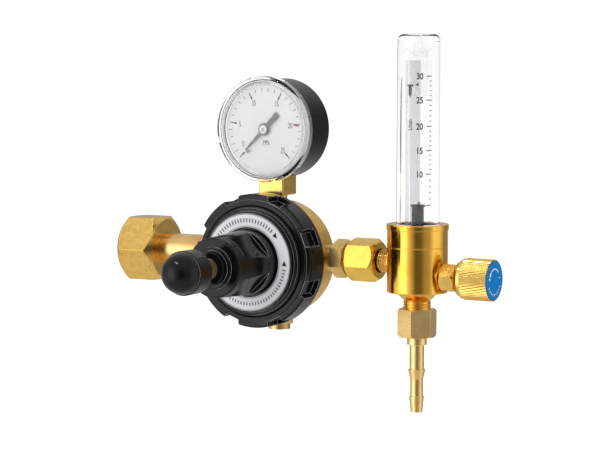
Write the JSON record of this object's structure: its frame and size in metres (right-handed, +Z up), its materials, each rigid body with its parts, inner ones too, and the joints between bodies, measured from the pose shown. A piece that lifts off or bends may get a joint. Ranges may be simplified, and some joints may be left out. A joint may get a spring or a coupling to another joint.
{
  "type": "gas flow regulator",
  "caption": "Brass welding-gas pressure regulator with a black bonnet and adjusting knob, round pressure gauge, clear-tube flow meter with needle valve, and a barbed hose tail",
  "frame": {"origin": "centre of the threaded mouth of the inlet nut", "axes": "-X out of the inlet nut towards the gas cylinder valve, -Y towards the user (adjusting knob), +Z up"},
  "size_m": [0.2076, 0.1199, 0.186],
  "materials": {
    "brass": "satin machined brass",
    "polished_brass": "polished brass",
    "bronze_filter": "sintered bronze, matte",
    "black_plastic": "semi-gloss moulded black plastic",
    "black_case": "gloss black case",
    "clear_plastic": "clear moulded plastic",
    "label_silver": "silver-white printed label",
    "dial_white": "white dial with black print",
    "pointer_black": "black pointer",
    "float_dark": "dark float",
    "rubber": "black rubber",
    "spring_steel": "spring steel",
    "plated_steel": "plated steel",
    "disc_blue": "blue printed disc"
  },
  "bodies": {
    "regulator": {"inlet_nipple": "brass", "regulator_body": "brass", "outlet_fitting": "brass", "outlet_union_nut": "brass", "outlet_tail": "brass", "hose_nut": "brass", "hose_barb": "brass", "gauge_socket": "brass", "relief_body": "brass", "relief_cap": "brass", "bonnet_insert": "brass", "valve_plug": "brass", "valve_seat": "brass", "float_stop": "brass", "flow_body": "polished_brass", "flow_gland": "polished_brass", "inlet_filter": "bronze_filter", "bonnet": "black_plastic", "clamp_ring": "black_plastic", "gauge_case": "black_case", "gauge_window": "clear_plastic", "outer_tube": "clear_plastic", "metering_tube": "clear_plastic", "tube_holder": "clear_plastic", "label_ring": "label_silver", "gauge_dial": "dial_white", "inlet_gasket": "rubber", "diaphragm": "rubber", "outer_seal": "rubber", "tube_seal": "rubber", "gauge_gasket": "rubber", "adjusting_spring": "spring_steel", "valve_spring": "spring_steel", "relief_spring": "spring_steel", "gauge_movement": "plated_steel", "bourdon_tube": "plated_steel"},
    "inlet_nut": {"inlet_union_nut": "brass"},
    "spring_carrier": {"spring_plate": "plated_steel"},
    "adjuster": {"adjusting_screw": "brass", "adjusting_knob": "black_plastic"},
    "valve_group": {"diaphragm_plate": "plated_steel", "reducing_valve": "brass"},
    "relief_valve": {"relief_poppet": "brass"},
    "pointer": {"gauge_pointer": "pointer_black"},
    "flow_float": {"float": "float_dark"},
    "seal_carrier": {"spindle_seal": "rubber"},
    "flow_control": {"flow_spindle": "polished_brass", "flow_knob": "polished_brass", "knob_disc": "disc_blue"}
  },
  "joints": [
    {"name": "inlet_nut_spin", "type": "hinge", "parent": "regulator", "child": "inlet_nut", "pos_m": [0, 0, 0], "axis": [1, 0, 0], "continuous": true},
    {"name": "spring_plate_slide", "type": "slide", "parent": "regulator", "child": "spring_carrier", "axis": [0, 1, 0], "range_m": [0, 0.0075], "deforming": ["adjusting_spring"]},
    {"name": "adjusting_screw_turn", "type": "hinge", "parent": "spring_carrier", "child": "adjuster", "pos_m": [0.087, -0.05, -0.0012], "axis": [0, 1, 0], "range_deg": [0, 1801]},
    {"name": "valve_lift", "type": "slide", "parent": "regulator", "child": "valve_group", "axis": [0, 1, 0], "range_m": [0, 0.0008], "stiffness_N_per_m": 1000, "springref_m": -0.001, "deforming": ["valve_spring", "diaphragm"]},
    {"name": "relief_lift", "type": "slide", "parent": "regulator", "child": "relief_valve", "axis": [0, 0, -1], "range_m": [0, 0.0008], "stiffness_N_per_m": 500, "springref_m": -0.001, "deforming": ["relief_spring"]},
    {"name": "gauge_pointer_turn", "type": "hinge", "parent": "regulator", "child": "pointer", "pos_m": [0.087, -0.013, 0.064], "axis": [0, 1, 0], "range_deg": [0, 270], "stiffness_Nm_per_rad": 0.0002, "springref_deg": -17.19},
    {"name": "float_rise", "type": "slide", "parent": "regulator", "child": "flow_float", "axis": [0, 0, 1], "range_m": [0, 0.068]},
    {"name": "spindle_travel", "type": "slide", "parent": "regulator", "child": "seal_carrier", "axis": [1, 0, 0], "range_m": [0, 0.0025]},
    {"name": "flow_knob_turn", "type": "hinge", "parent": "seal_carrier", "child": "flow_control", "pos_m": [0.166, 0, -0.0065], "axis": [1, 0, 0], "range_deg": [0, 901]}
  ],
  "couplings": [
    {"joint": "adjusting_screw_turn", "follows": "spring_plate_slide", "rad_per_m": 4188.8},
    {"joint": "flow_knob_turn", "follows": "spindle_travel", "rad_per_m": 6283.2}
  ]
}
